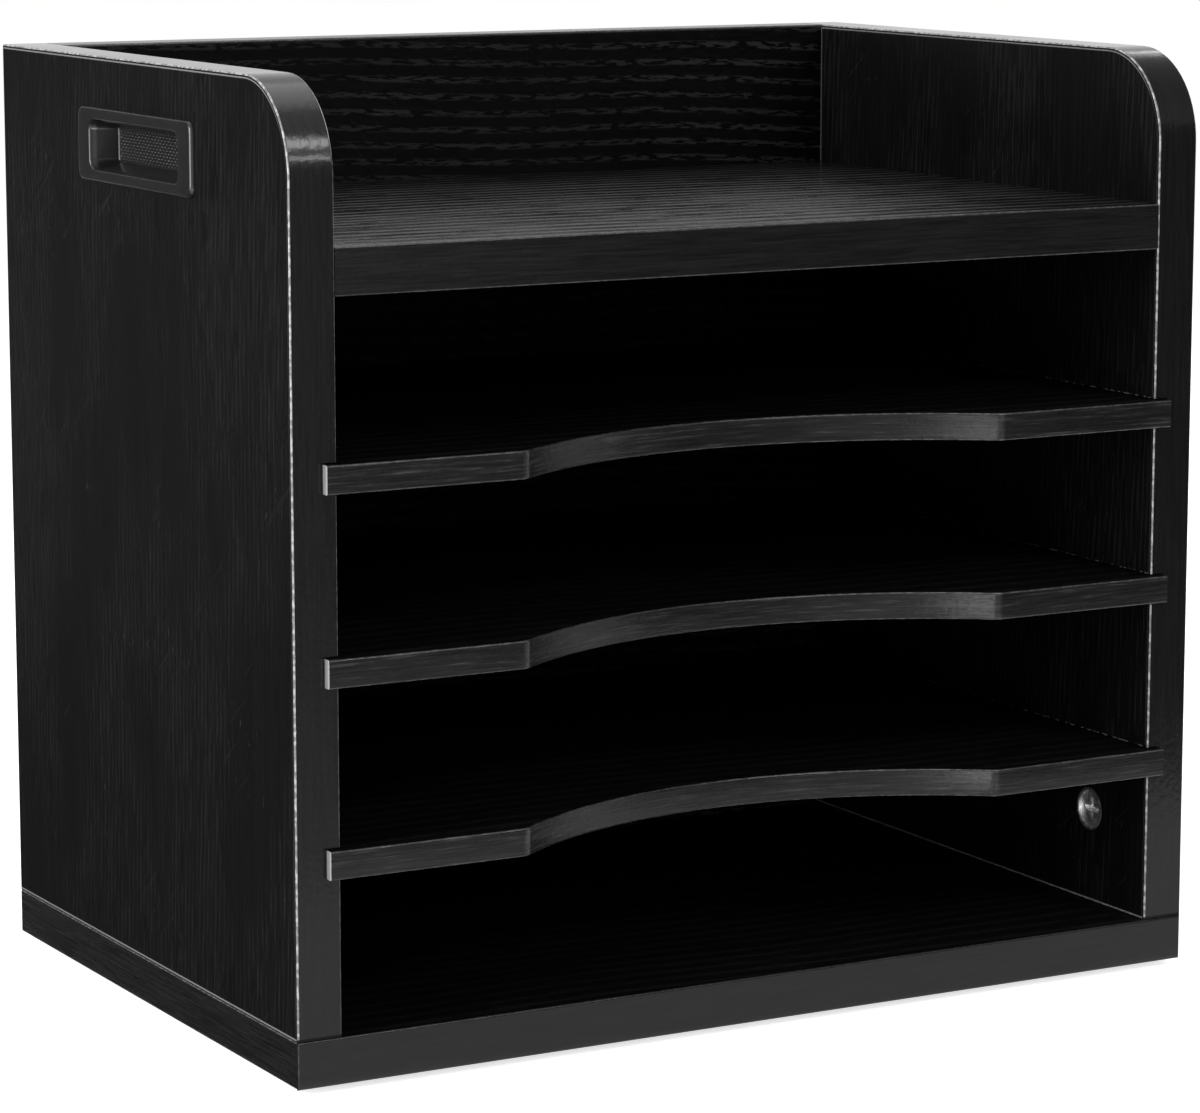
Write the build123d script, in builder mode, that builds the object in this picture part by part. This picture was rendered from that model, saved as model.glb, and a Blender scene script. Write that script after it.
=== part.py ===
# Desk file organizer: a knock-down case of black melamine board with an open top tray,
# three pull-out shelves in grooves, recessed plastic handles and cam-lock joints.
# Millimetres, +X to the right, +Y to the back, +Z up. The origin is on the desk, under the
# middle of the overall box.
import os

from build123d import *

os.makedirs("parts", exist_ok=True)

# Case boards
width = 330.0  # over the outer faces of the side panels
depth = 225.0  # panel fronts to the back of the case
board = 15.0  # thickness of every case board
compartment = 50.0  # clear height of each of the four compartments
gallery = 50.0  # rise of the sides and back above the top board
corner_radius = 30.0  # top front corner of each side panel
band = 1.0  # edge band thickness
arris = 0.7  # scraped round along the edges of the bands

# Shelves and their grooves
shelf_board = 9.0  # thickness of a shelf
shelf_overhang = 3.0  # shelf front beyond the panel fronts
groove_depth = 5.0  # into the inner face of each side panel
groove_play = 0.4  # groove height beyond the shelf thickness
shelf_end_gap = 0.4  # shelf end to the bottom of its groove
shelf_back_gap = 0.5  # shelf back to the back panel
cutout_width = 174.0  # finger cut-out, along the shelf front
cutout_depth = 30.0  # finger cut-out, at its middle

# Recessed handles
handle_length = 90.0  # flange
handle_height = 24.0
handle_corner = 3.5
handle_flange = 1.5  # flange thickness, proud of the panel
handle_round = 0.9  # outer edge of the flange
handle_drop = 28.5  # panel top to the middle of the handle
grip_length = 70.0  # mouth of the hollow
grip_height = 16.0
grip_corner = 3.5
grip_depth = 9.5  # flange face to the floor of the hollow
grip_draft = 13.0  # degrees, slope of the walls of the cup
grip_lip = 0.6  # round on the edge of the mouth
cup_wall = 1.6
cup_play = 0.25  # cup to the pocket in the panel

# Cam fittings: a turning cam in one board pulls the bolt that is screwed into the other
cam_bore = 15.0
cam_bore_depth = 12.5
cam_play = 0.2  # cam to the wall of its bore
cam_sink = 0.2  # cam face below the board face
cam_height = 12.0
cam_reach = 32.0  # board edge to the middle of the cam
cam_inset = 33.0  # front or back edge of a board to the middle of the cam
cam_rim = 0.9  # ring round the sunk face of the cam
cam_rim_height = 1.0
cross_length = 8.0  # driver recess in the cam
cross_width = 1.7
cross_depth = 2.0
bolt_channel = 8.0  # drilled in the board edge
bolt_shank = 6.0
bolt_collar = 7.4
bolt_collar_height = 1.6
bolt_neck = 4.0
bolt_neck_length = 5.0
bolt_head = 6.4
bolt_head_length = 4.0
bolt_head_gap = 0.5  # head to the hollow of the cam
bolt_hole = 5.0
bolt_hole_depth = 11.5
bolt_tip_gap = 0.5  # screw tip to the bottom of its hole
bolt_thread_play = 0.1  # screw to the wall of its hole

# Dowels
dowel_diameter = 8.0
dowel_play = 0.1
dowel_in_edge = 20.0  # length held in the board that meets with its edge
dowel_in_face = 10.0  # length held in the board that meets with its face
dowel_tip_gap = 0.5
dowel_chamfer = 0.8
dowel_spread = 80.0  # between the two dowels at each end of the base and top board joints
back_dowel_spread = 130.0  # between the two dowels under the back panel

# Foot pads
pad_diameter = 20.0
pad_thickness = 2.0
pad_inset = 20.0  # board edge to the middle of the pad

# Planes of the case
inner_width = width - 2 * board
y_front = (shelf_overhang - depth) / 2
y_back = y_front + depth
y_middle = (y_front + y_back) / 2
y_back_panel = y_back - board
y_shelf_front = y_front - shelf_overhang
y_shelf_back = y_back_panel - shelf_back_gap
z_base = pad_thickness
z_floor = z_base + board
shelf_pitch = compartment + shelf_board
shelf_levels = [z_floor + compartment + i * shelf_pitch for i in range(3)]
z_top_under = shelf_levels[-1] + shelf_pitch
z_top = z_top_under + board
z_crown = z_top + gallery
left_outer = Plane.YZ.offset(-width / 2)
left_inner = Plane.YZ.offset(-inner_width / 2)

# Sizes that follow from fits
groove_height = shelf_board + groove_play
groove_start = y_front - groove_height
groove_end = y_shelf_back + groove_height / 2
shelf_width = inner_width + 2 * (groove_depth - shelf_end_gap)
cutout_radius = (cutout_width**2 / 4 + cutout_depth**2) / (2 * cutout_depth)
cutout_middle = y_shelf_front + cutout_depth - cutout_radius
handle_middle = (y_middle, z_crown - handle_drop)
cup_length = grip_length + 2 * cup_wall
cup_height = grip_height + 2 * cup_wall
cup_depth = grip_depth - handle_flange + cup_wall
cam_radius = cam_bore / 2 - cam_play
bolt_end = cam_reach + bolt_head_length / 2
dowel_hole = dowel_diameter / 2 + dowel_play
edge_round = min(arris, 0.8 * band)

# Joint planes lie on the seam between two boards. Their Z runs from the board that holds the
# screw into the board that holds the cam, and their X points to the face where the cam shows.
ends = (-1, 1)
base_rows = (y_front + cam_inset, y_back - cam_inset)
top_rows = (y_front + cam_inset, y_back_panel - cam_inset)
back_rows = (z_floor + compartment / 2, z_top + gallery / 2)
back_dowel_rows = (z_floor + shelf_pitch + compartment / 2, z_top_under - compartment / 2)
y_back_middle = y_back - board / 2
y_top_middle = (y_front + y_back_panel) / 2
z_top_middle = z_top_under + board / 2


def base_joint(end, y):
    return Plane((end * (width - board) / 2, y, z_floor), x_dir=(-end, 0, 0), z_dir=(0, 0, 1))


def top_joint(end, y):
    return Plane((end * inner_width / 2, y, z_top_middle), x_dir=(0, 0, -1), z_dir=(-end, 0, 0))


def back_joint(end, z):
    return Plane((end * inner_width / 2, y_back_middle, z), x_dir=(0, 1, 0), z_dir=(-end, 0, 0))


base_bolts = [base_joint(end, y) for end in ends for y in base_rows]
top_bolts = [top_joint(end, y) for end in ends for y in top_rows]
back_bolts = [back_joint(end, z) for end in ends for z in back_rows]
base_dowels_at = [base_joint(end, y_middle + k * dowel_spread / 2) for end in ends for k in ends]
top_dowels_at = [top_joint(end, y_top_middle + k * dowel_spread / 2) for end in ends for k in ends]
back_end_dowels_at = [back_joint(end, z) for end in ends for z in back_dowel_rows]
back_foot_dowels_at = [Plane((k * back_dowel_spread / 2, y_back_middle, z_floor)) for k in ends]


def left_of(planes):
    return [plane for plane in planes if plane.origin.X < 0]


def cam_seat(joint):
    middle = joint.from_local_coords(Vector(board / 2, 0, cam_reach))
    return Plane(middle, x_dir=joint.z_dir, z_dir=joint.x_dir)


# Drilling, used inside the board being drilled
def drill_for_cams(joints):
    with Locations(*[cam_seat(joint) for joint in joints]):
        Hole(cam_bore / 2, cam_bore_depth)
    with Locations(*[-joint for joint in joints]):
        Hole(bolt_channel / 2, cam_reach)


def drill_for_screws(joints):
    with Locations(*joints):
        Hole(bolt_hole / 2, bolt_hole_depth)


def drill_edge_for_dowels(joints):
    with Locations(*[-joint for joint in joints]):
        Hole(dowel_hole, dowel_in_edge + dowel_tip_gap)


def drill_face_for_dowels(joints):
    with Locations(*joints):
        Hole(dowel_hole, dowel_in_face + dowel_tip_gap)


# A rectangle given by two opposite corners
def corner_rectangle(x_low, y_low, x_high, y_high):
    with Locations(((x_low + x_high) / 2, (y_low + y_high) / 2)):
        Rectangle(x_high - x_low, y_high - y_low)


# Side panel outline, drawn in by an inset from its front, round corner and top
def side_outline(inset, mode=Mode.ADD):
    with BuildLine() as outline:
        crown = CenterArc(
            (y_front + corner_radius, z_crown - corner_radius), corner_radius - inset, 90, 90
        )
        Polyline(
            crown @ 1,
            (y_front + inset, z_floor),
            (y_back, z_floor),
            (y_back, z_crown - inset),
            crown @ 0,
        )
    make_face(outline.edges(), mode=mode)


# Three shelf grooves, open at the front, with the cutter's round end behind the back panel
def cut_grooves():
    with BuildSketch(left_inner) as grooves:
        for level in shelf_levels:
            with Locations(((groove_start + groove_end) / 2, level + groove_height / 2)):
                SlotOverall(groove_end - groove_start, groove_height)
    extrude(grooves.sketch, amount=-groove_depth, mode=Mode.SUBTRACT)


# Shelf outline, with the curved finger cut-out, drawn in by an inset from its front
def shelf_outline(inset, mode=Mode.ADD):
    with BuildSketch() as outline:
        corner_rectangle(-shelf_width / 2, y_shelf_front + inset, shelf_width / 2, y_shelf_back)
        with Locations((0, cutout_middle)):
            Circle(cutout_radius + inset, mode=Mode.SUBTRACT)
    add(outline.sketch, mode=mode)


# Left side panel
with BuildPart() as left_side_panel:
    with BuildSketch(left_outer):
        side_outline(band)
    extrude(amount=board)
    cut_grooves()
    with BuildSketch(left_outer):
        with Locations(handle_middle):
            RectangleRounded(
                cup_length + 2 * cup_play,
                cup_height + 2 * cup_play,
                grip_corner + cup_wall + cup_play,
            )
    extrude(amount=cup_depth + cup_play, mode=Mode.SUBTRACT)
    drill_for_cams(left_of(base_bolts))
    drill_edge_for_dowels(left_of(base_dowels_at))
    drill_for_screws(left_of(top_bolts + back_bolts))
    drill_face_for_dowels(left_of(top_dowels_at + back_end_dowels_at))

# Edge band of the left side panel: up the front, round the corner and back along the top
with BuildPart() as left_side_edge_band:
    with BuildSketch(left_outer):
        side_outline(0)
        side_outline(band, mode=Mode.SUBTRACT)
    extrude(amount=board)
    outer_faces = (
        left_side_edge_band.faces().sort_by(Axis.Y)[0],
        left_side_edge_band.faces().sort_by(Axis.Z)[-1],
        left_side_edge_band.faces().filter_by(GeomType.CYLINDER).sort_by(Axis.Z)[-1],
    )
    long_edges = [
        edge
        for face in outer_faces
        for side in (0, -1)
        for edge in face.edges().group_by(Axis.X)[side]
    ]
    foot_edge = outer_faces[0].edges().sort_by(Axis.Z)[0]
    fillet([*long_edges, foot_edge], edge_round)
    cut_grooves()

# Left handle cup: a flanged tray moulded in one piece
with BuildPart() as left_handle_cup:
    with BuildSketch(left_outer):
        with Locations(handle_middle):
            RectangleRounded(handle_length, handle_height, handle_corner)
    extrude(amount=-handle_flange)
    fillet(left_handle_cup.faces().sort_by(Axis.X)[0].edges(), handle_round)
    with BuildSketch(left_outer):
        with Locations(handle_middle):
            RectangleRounded(cup_length, cup_height, grip_corner + cup_wall)
    extrude(amount=cup_depth, taper=grip_draft)
    with BuildSketch(left_outer.offset(-handle_flange)):
        with Locations(handle_middle):
            RectangleRounded(grip_length, grip_height, grip_corner)
    extrude(amount=grip_depth, taper=grip_draft, mode=Mode.SUBTRACT)
    flange_face = left_handle_cup.faces().filter_by(Axis.X).sort_by(Axis.X)[0]
    fillet(flange_face.inner_wires()[0].edges(), grip_lip)

# Pieces of the right side, handed the other way
with BuildPart() as right_side_panel:
    mirror(left_side_panel.part, about=Plane.YZ)

with BuildPart() as right_side_edge_band:
    mirror(left_side_edge_band.part, about=Plane.YZ)

with BuildPart() as right_handle_cup:
    mirror(left_handle_cup.part, about=Plane.YZ)

# Base board, under both side panels
with BuildPart() as base_board:
    with BuildSketch(Plane.XY.offset(z_base)):
        corner_rectangle(-width / 2 + band, y_front + band, width / 2 - band, y_back)
    extrude(amount=board)
    drill_for_screws(base_bolts)
    drill_face_for_dowels(base_dowels_at + back_foot_dowels_at)

with BuildPart() as base_front_edge_band:
    with BuildSketch(Plane.XY.offset(z_base)):
        corner_rectangle(-width / 2, y_front, width / 2, y_front + band)
    extrude(amount=board)
    fillet(base_front_edge_band.faces().sort_by(Axis.Y)[0].edges(), edge_round)

with BuildPart() as base_end_edge_bands:
    with BuildSketch(Plane.XY.offset(z_base)):
        corner_rectangle(-width / 2, y_front + band, -width / 2 + band, y_back)
        corner_rectangle(width / 2 - band, y_front + band, width / 2, y_back)
    extrude(amount=board)
    for end_face in (0, -1):
        outer_face = base_end_edge_bands.faces().sort_by(Axis.X)[end_face]
        fillet(outer_face.edges().filter_by(Axis.Y), edge_round)

# Top board, the floor of the open tray
with BuildPart() as top_board:
    with BuildSketch(Plane.XY.offset(z_top_under)):
        corner_rectangle(-inner_width / 2, y_front + band, inner_width / 2, y_back_panel)
    extrude(amount=board)
    drill_for_cams(top_bolts)
    drill_edge_for_dowels(top_dowels_at)

with BuildPart() as top_board_edge_band:
    with BuildSketch(Plane.XY.offset(z_top_under)):
        corner_rectangle(-inner_width / 2, y_front, inner_width / 2, y_front + band)
    extrude(amount=board)
    fillet(top_board_edge_band.faces().sort_by(Axis.Y)[0].edges().filter_by(Axis.X), edge_round)

# Back panel, full height between the side panels
with BuildPart() as back_panel:
    with BuildSketch(Plane.XY.offset(z_floor)):
        corner_rectangle(-inner_width / 2, y_back_panel, inner_width / 2, y_back)
    extrude(amount=z_crown - band - z_floor)
    drill_for_cams(back_bolts)
    drill_edge_for_dowels(back_end_dowels_at + back_foot_dowels_at)

with BuildPart() as back_panel_edge_band:
    with BuildSketch(Plane.XY.offset(z_crown - band)):
        corner_rectangle(-inner_width / 2, y_back_panel, inner_width / 2, y_back)
    extrude(amount=band)
    fillet(back_panel_edge_band.faces().sort_by(Axis.Z)[-1].edges().filter_by(Axis.X), edge_round)

# Shelves and the bands that follow their fronts
shelf_pieces = {}
for name, level in zip(("lower_shelf", "middle_shelf", "upper_shelf"), shelf_levels):
    with BuildPart() as shelf:
        with BuildSketch(Plane.XY.offset(level)):
            shelf_outline(band)
        extrude(amount=shelf_board)
    shelf_pieces[name] = shelf

    with BuildPart() as shelf_edge_band:
        with BuildSketch(Plane.XY.offset(level)):
            shelf_outline(0)
            shelf_outline(band, mode=Mode.SUBTRACT)
        extrude(amount=shelf_board)
        front_faces = shelf_edge_band.faces().group_by(Axis.Y)[0]
        front_faces += shelf_edge_band.faces().filter_by(GeomType.CYLINDER).sort_by(Axis.Y)[:1]
        front_edges = [
            edge
            for face in front_faces
            for side in (0, -1)
            for edge in face.edges().group_by(Axis.Z)[side]
        ]
        chamfer(front_edges, edge_round)
    shelf_pieces[name + "_edge_band"] = shelf_edge_band

# One cam, facing +Z, with its bolt coming from -X
with BuildPart() as cam_lock:
    with BuildSketch(Plane.XY.offset(-cam_sink)):
        Circle(cam_radius)
    extrude(amount=-cam_height)
    with BuildSketch(Plane.YZ.offset(-cam_radius)):
        with Locations((0, -board / 2)):
            Circle(bolt_head / 2 + bolt_head_gap)
    extrude(amount=cam_radius + bolt_head_length / 2 + bolt_head_gap, mode=Mode.SUBTRACT)
    with BuildSketch(Plane.XY.offset(-cam_sink)):
        Circle(cam_radius - cam_rim)
    extrude(amount=-cam_rim_height, mode=Mode.SUBTRACT)
    with BuildSketch(Plane.XY.offset(-cam_sink - cam_rim_height)):
        Rectangle(cross_length, cross_width)
        Rectangle(cross_width, cross_length)
    extrude(amount=-cross_depth, mode=Mode.SUBTRACT)

# One cam bolt, screwed in along -Z, with its collar on the board and its head in the cam
with BuildPart() as cam_bolt:
    with BuildSketch(Plane.XZ):
        with BuildLine():
            Polyline(
                (0, bolt_tip_gap - bolt_hole_depth),
                (bolt_hole / 2 - bolt_thread_play, bolt_tip_gap - bolt_hole_depth),
                (bolt_hole / 2 - bolt_thread_play, 0),
                (bolt_collar / 2, 0),
                (bolt_collar / 2, bolt_collar_height),
                (bolt_shank / 2, bolt_collar_height),
                (bolt_shank / 2, bolt_end - bolt_head_length - bolt_neck_length),
                (bolt_neck / 2, bolt_end - bolt_head_length - bolt_neck_length),
                (bolt_neck / 2, bolt_end - bolt_head_length),
                (bolt_head / 2, bolt_end - bolt_head_length),
                (bolt_head / 2, bolt_end),
                (0, bolt_end),
                close=True,
            )
        make_face()
    revolve(axis=Axis.Z)

# One dowel, its longer part along +Z
with BuildPart() as dowel:
    with BuildSketch(Plane.XY.offset(-dowel_in_face)):
        Circle(dowel_diameter / 2)
    extrude(amount=dowel_in_face + dowel_in_edge)
    chamfer(dowel.edges().filter_by(GeomType.CIRCLE), dowel_chamfer)

# Fittings of the three joints
with BuildPart() as base_cam_locks:
    with Locations(*[cam_seat(joint) for joint in base_bolts]):
        add(cam_lock.part)

with BuildPart() as top_cam_locks:
    with Locations(*[cam_seat(joint) for joint in top_bolts]):
        add(cam_lock.part)

with BuildPart() as back_cam_locks:
    with Locations(*[cam_seat(joint) for joint in back_bolts]):
        add(cam_lock.part)

with BuildPart() as base_cam_bolts:
    with Locations(*base_bolts):
        add(cam_bolt.part)

with BuildPart() as top_cam_bolts:
    with Locations(*top_bolts):
        add(cam_bolt.part)

with BuildPart() as back_cam_bolts:
    with Locations(*back_bolts):
        add(cam_bolt.part)

with BuildPart() as base_dowels:
    with Locations(*base_dowels_at):
        add(dowel.part)

with BuildPart() as top_dowels:
    with Locations(*top_dowels_at):
        add(dowel.part)

with BuildPart() as back_dowels:
    with Locations(*back_end_dowels_at, *back_foot_dowels_at):
        add(dowel.part)

# Foot pads under the corners of the base board
with BuildPart() as foot_pads:
    with BuildSketch():
        with Locations((0, y_middle)):
            with GridLocations(width - 2 * pad_inset, depth - 2 * pad_inset, 2, 2):
                Circle(pad_diameter / 2)
    extrude(amount=pad_thickness)

# One file for each piece
pieces = {
    "left_side_panel": left_side_panel,
    "right_side_panel": right_side_panel,
    "left_side_edge_band": left_side_edge_band,
    "right_side_edge_band": right_side_edge_band,
    "left_handle_cup": left_handle_cup,
    "right_handle_cup": right_handle_cup,
    "base_board": base_board,
    "base_front_edge_band": base_front_edge_band,
    "base_end_edge_bands": base_end_edge_bands,
    "top_board": top_board,
    "top_board_edge_band": top_board_edge_band,
    "back_panel": back_panel,
    "back_panel_edge_band": back_panel_edge_band,
    **shelf_pieces,
    "base_cam_locks": base_cam_locks,
    "top_cam_locks": top_cam_locks,
    "back_cam_locks": back_cam_locks,
    "base_cam_bolts": base_cam_bolts,
    "top_cam_bolts": top_cam_bolts,
    "back_cam_bolts": back_cam_bolts,
    "base_dowels": base_dowels,
    "top_dowels": top_dowels,
    "back_dowels": back_dowels,
    "foot_pads": foot_pads,
}
for name, piece in pieces.items():
    piece.part.label = name
    export_step(piece.part, f"parts/{name}.step")
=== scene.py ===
import math
import bmesh
import bpy
import numpy as np
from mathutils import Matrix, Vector


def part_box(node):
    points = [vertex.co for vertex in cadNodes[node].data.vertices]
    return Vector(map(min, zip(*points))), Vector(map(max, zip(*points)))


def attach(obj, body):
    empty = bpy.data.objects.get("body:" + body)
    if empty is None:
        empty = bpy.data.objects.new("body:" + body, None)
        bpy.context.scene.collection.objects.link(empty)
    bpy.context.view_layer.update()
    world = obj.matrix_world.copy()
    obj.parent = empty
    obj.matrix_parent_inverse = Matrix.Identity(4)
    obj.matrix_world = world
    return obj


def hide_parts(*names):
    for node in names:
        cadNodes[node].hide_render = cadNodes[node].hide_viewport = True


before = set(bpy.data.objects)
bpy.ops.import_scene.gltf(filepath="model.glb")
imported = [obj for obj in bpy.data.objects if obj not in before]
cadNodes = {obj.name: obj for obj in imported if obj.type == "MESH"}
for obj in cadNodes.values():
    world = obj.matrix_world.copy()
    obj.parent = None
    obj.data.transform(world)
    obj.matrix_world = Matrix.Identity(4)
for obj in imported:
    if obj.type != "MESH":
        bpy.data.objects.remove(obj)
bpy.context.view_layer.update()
scene = bpy.context.scene
scene.view_settings.view_transform = "Standard"
mm = 0.001
print("frame loaded:", len(cadNodes), "nodes")


# Shader helpers
def feed(tree, socket, value):  # a link where the value is a socket, else a fixed value
    if isinstance(value, bpy.types.NodeSocket):
        tree.links.new(value, socket)
    else:
        socket.default_value = value


def putNode(tree, kind, inputs=(), **settings):
    made = tree.nodes.new(kind)
    for key, value in settings.items():
        setattr(made, key, value)
    for key, value in dict(inputs).items():
        feed(tree, made.inputs[key], value)
    return made


def calc(tree, operation, *values):
    return putNode(tree, "ShaderNodeMath", enumerate(values), operation=operation).outputs[0]


def ease(tree, value, low, high, toLow=0.0, toHigh=1.0):  # smooth step from low to high
    values = enumerate((value, low, high, toLow, toHigh))
    made = putNode(tree, "ShaderNodeMapRange", values, interpolation_type="SMOOTHSTEP")
    return made.outputs[0]


def stretch(tree, vector, factors):
    values = enumerate((vector, factors))
    return putNode(tree, "ShaderNodeVectorMath", values, operation="MULTIPLY").outputs[0]


def rotate(tree, vector, angles):
    return putNode(tree, "ShaderNodeMapping", {"Vector": vector, "Rotation": angles}).outputs[0]


def noise(tree, vector, detail=2.0, roughness=0.5, scale=1.0):
    values = {"Vector": vector, "Scale": scale, "Detail": detail, "Roughness": roughness}
    return putNode(tree, "ShaderNodeTexNoise", values).outputs[0]


def split(tree, vector):
    return putNode(tree, "ShaderNodeSeparateXYZ", {0: vector}).outputs


def join(tree, x, y, z):
    return putNode(tree, "ShaderNodeCombineXYZ", enumerate((x, y, z))).outputs[0]


def newGroup(name, inputs, outputs):
    tree = bpy.data.node_groups.new(name, "ShaderNodeTree")
    for label, kind, start in inputs:
        socket = tree.interface.new_socket(label, in_out="INPUT", socket_type=kind)
        socket.default_value = start
    for label in outputs:
        tree.interface.new_socket(label, in_out="OUTPUT", socket_type=floatSocket)
    entry = tree.nodes.new("NodeGroupInput").outputs
    leave = tree.nodes.new("NodeGroupOutput").inputs
    return tree, entry, leave


def useGroup(tree, group, **inputs):
    return putNode(tree, "ShaderNodeGroup", inputs, node_tree=group).outputs


def newMaterial(name):  # a Principled material and its Object coordinates
    material = bpy.data.materials.new(name)
    material.use_nodes = True
    tree = material.node_tree
    tree.nodes.clear()
    shader = putNode(tree, "ShaderNodeBsdfPrincipled")
    output = putNode(tree, "ShaderNodeOutputMaterial")
    tree.links.new(shader.outputs[0], output.inputs[0])
    place = putNode(tree, "ShaderNodeTexCoord").outputs["Object"]
    return material, tree, shader, place


def wire(tree, shader, **inputs):
    for key, value in inputs.items():
        feed(tree, shader.inputs[key.replace("_", " ")], value)


def bump(tree, height, distance):
    return putNode(tree, "ShaderNodeBump", {"Height": height, "Distance": distance}).outputs[0]


vectorSocket, floatSocket = "NodeSocketVector", "NodeSocketFloat"
noiseSpan = (0.3, 0.7)  # where most values of a noise lie

# Embossed wood grain along local X: growth rings are steps of y times Rings, bent by a slow noise,
# the pores are short dashes that crowd on each ring, and Fade thins them out in patches
grainShape = {
    "bend": (5.0, 11.0, 6.0),
    "drift": 0.03,  # how far the rings run across, along the grain
    "ringEdge": (0.24, 0.4),
    "dashAcross": 4.5,
    "dashDeep": 60.0,
    "dashEdge": (-0.05, 0.05),
    "patch": (9.0, 26.0, 20.0),
    "patchEdge": (0.38, 0.6),
    "streak": (6.0, 170.0, 60.0),
    "streakLift": 0.3,
}


def makeGrain():
    inputs = [
        ("Vector", vectorSocket, (0, 0, 0)),
        ("Rings", floatSocket, 165.0),
        ("Wander", floatSocket, 1.5),
        ("Dash", floatSocket, 90.0),
        ("Cover", floatSocket, 0.1),
        ("Gap", floatSocket, 0.52),
        ("Fade", floatSocket, 0.0),
    ]
    tree, entry, leave = newGroup("embossedGrain", inputs, ["Streak", "Pore", "Height"])
    vector, shape = entry["Vector"], grainShape
    x, y, z = split(tree, vector)
    slow = noise(tree, stretch(tree, vector, shape["bend"]), detail=1.0, roughness=0.4)
    bend = calc(tree, "MULTIPLY", calc(tree, "SUBTRACT", slow, 0.5), entry["Wander"])
    across = calc(tree, "MULTIPLY_ADD", x, shape["drift"], y)
    level = calc(tree, "MULTIPLY_ADD", across, entry["Rings"], bend)
    ring = ease(tree, calc(tree, "PINGPONG", level, 0.5), *shape["ringEdge"])
    dashX = calc(tree, "MULTIPLY", x, entry["Dash"])
    dashY = calc(tree, "MULTIPLY", level, shape["dashAcross"])
    dashZ = calc(tree, "MULTIPLY", z, shape["dashDeep"])
    dashes = noise(tree, join(tree, dashX, dashY, dashZ), roughness=0.6)
    uncovered = calc(tree, "SUBTRACT", 1.0, entry["Cover"])
    crowd = calc(tree, "MULTIPLY_ADD", ring, uncovered, entry["Cover"])
    apart = calc(tree, "SUBTRACT", dashes, entry["Gap"])
    pore = calc(tree, "MULTIPLY", ease(tree, apart, *shape["dashEdge"]), crowd)
    patch = noise(tree, stretch(tree, vector, shape["patch"]))
    patch = ease(tree, patch, *shape["patchEdge"])
    faded = calc(tree, "MULTIPLY", entry["Fade"], calc(tree, "SUBTRACT", 1.0, patch))
    pore = calc(tree, "MULTIPLY", pore, calc(tree, "SUBTRACT", 1.0, faded))
    streak = noise(tree, stretch(tree, vector, shape["streak"]), detail=3.0, roughness=0.6)
    lift = calc(tree, "MULTIPLY", streak, shape["streakLift"])
    tree.links.new(streak, leave["Streak"])
    tree.links.new(pore, leave["Pore"])
    tree.links.new(calc(tree, "MULTIPLY_ADD", pore, -1.0, lift), leave["Height"])
    return tree


# Scraped arris: where the normal leans between the band's face and its side, broken by chatter.
# The bands paint it paler, partly as scraped wear and partly as painted highlight.
# Full is the flatness at which the scrape is complete
arrisShape = {"start": 0.985, "chatterScale": 480.0, "chatterEdge": (0.38, 0.66)}


def makeArris():
    inputs = [
        ("Normal", vectorSocket, (0, 0, 1)),
        ("Axis", vectorSocket, (1, 0, 0)),
        ("Vector", vectorSocket, (0, 0, 0)),
        ("Full", floatSocket, 0.8),
    ]
    tree, entry, leave = newGroup("scrapedArris", inputs, ["Mask", "Chatter"])
    pair = enumerate((entry["Normal"], entry["Axis"]))
    dot = putNode(tree, "ShaderNodeVectorMath", pair, operation="DOT_PRODUCT").outputs[1]
    lean = calc(tree, "ABSOLUTE", dot)
    other = calc(tree, "SQRT", calc(tree, "SUBTRACT", 1.0, calc(tree, "MULTIPLY", lean, lean)))
    flat = calc(tree, "MAXIMUM", lean, other)
    scale = arrisShape["chatterScale"]
    chatter = noise(tree, entry["Vector"], detail=1.0, roughness=0.4, scale=scale)
    tree.links.new(ease(tree, flat, arrisShape["start"], entry["Full"]), leave["Mask"])
    tree.links.new(ease(tree, chatter, *arrisShape["chatterEdge"]), leave["Chatter"])
    return tree


# Handling marks: soft smudges, a few fine scuffs and slanted scratches
scuffShape = {
    "smudgeScale": 22.0,
    "patchScale": 35.0,
    "dash": (260.0, 900.0, 160.0),
    "dashEdge": (0.66, 0.74),
    "dashPatch": (0.52, 0.66),
    "slant": (0.0, 0.0, 0.9),
    "scratch": (32.0, 2200.0, 32.0),
    "scratchEdge": (0.69, 0.74),
    "scratchPatch": (0.5, 0.58),
    "scratchShare": 0.5,
}


def makeScuffs():
    inputs = [("Vector", vectorSocket, (0, 0, 0))]
    tree, entry, leave = newGroup("handlingScuffs", inputs, ["Smudge", "Scuff"])
    vector, shape = entry["Vector"], scuffShape
    smudge = noise(tree, vector, detail=3.0, roughness=0.55, scale=shape["smudgeScale"])
    patch = noise(tree, vector, scale=shape["patchScale"])
    dash = noise(tree, stretch(tree, vector, shape["dash"]), roughness=0.6)
    dash = ease(tree, dash, *shape["dashEdge"])
    dash = calc(tree, "MULTIPLY", dash, ease(tree, patch, *shape["dashPatch"]))
    slant = rotate(tree, vector, shape["slant"])
    scratch = noise(tree, stretch(tree, slant, shape["scratch"]), detail=1.0)
    scratch = ease(tree, scratch, *shape["scratchEdge"], 0.0, shape["scratchShare"])
    scratch = calc(tree, "MULTIPLY", scratch, ease(tree, patch, *shape["scratchPatch"]))
    tree.links.new(smudge, leave["Smudge"])
    tree.links.new(calc(tree, "MAXIMUM", dash, scratch), leave["Scuff"])
    return tree


grainGroup = makeGrain()
arrisGroup = makeArris()
scuffGroup = makeScuffs()
print("node groups built")

# Turns that bring the grain onto local X
quarter = math.pi / 2
uprightTurn = (0.0, quarter, 0.0)  # grain up Z, across Y
backTurn = (-quarter, 0.0, 0.0)  # grain along X, across Z
flatTurn = (0.0, 0.0, 0.0)  # grain along X, across Y
endTurn = (0.0, 0.0, quarter)  # grain along Y, across X

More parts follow.
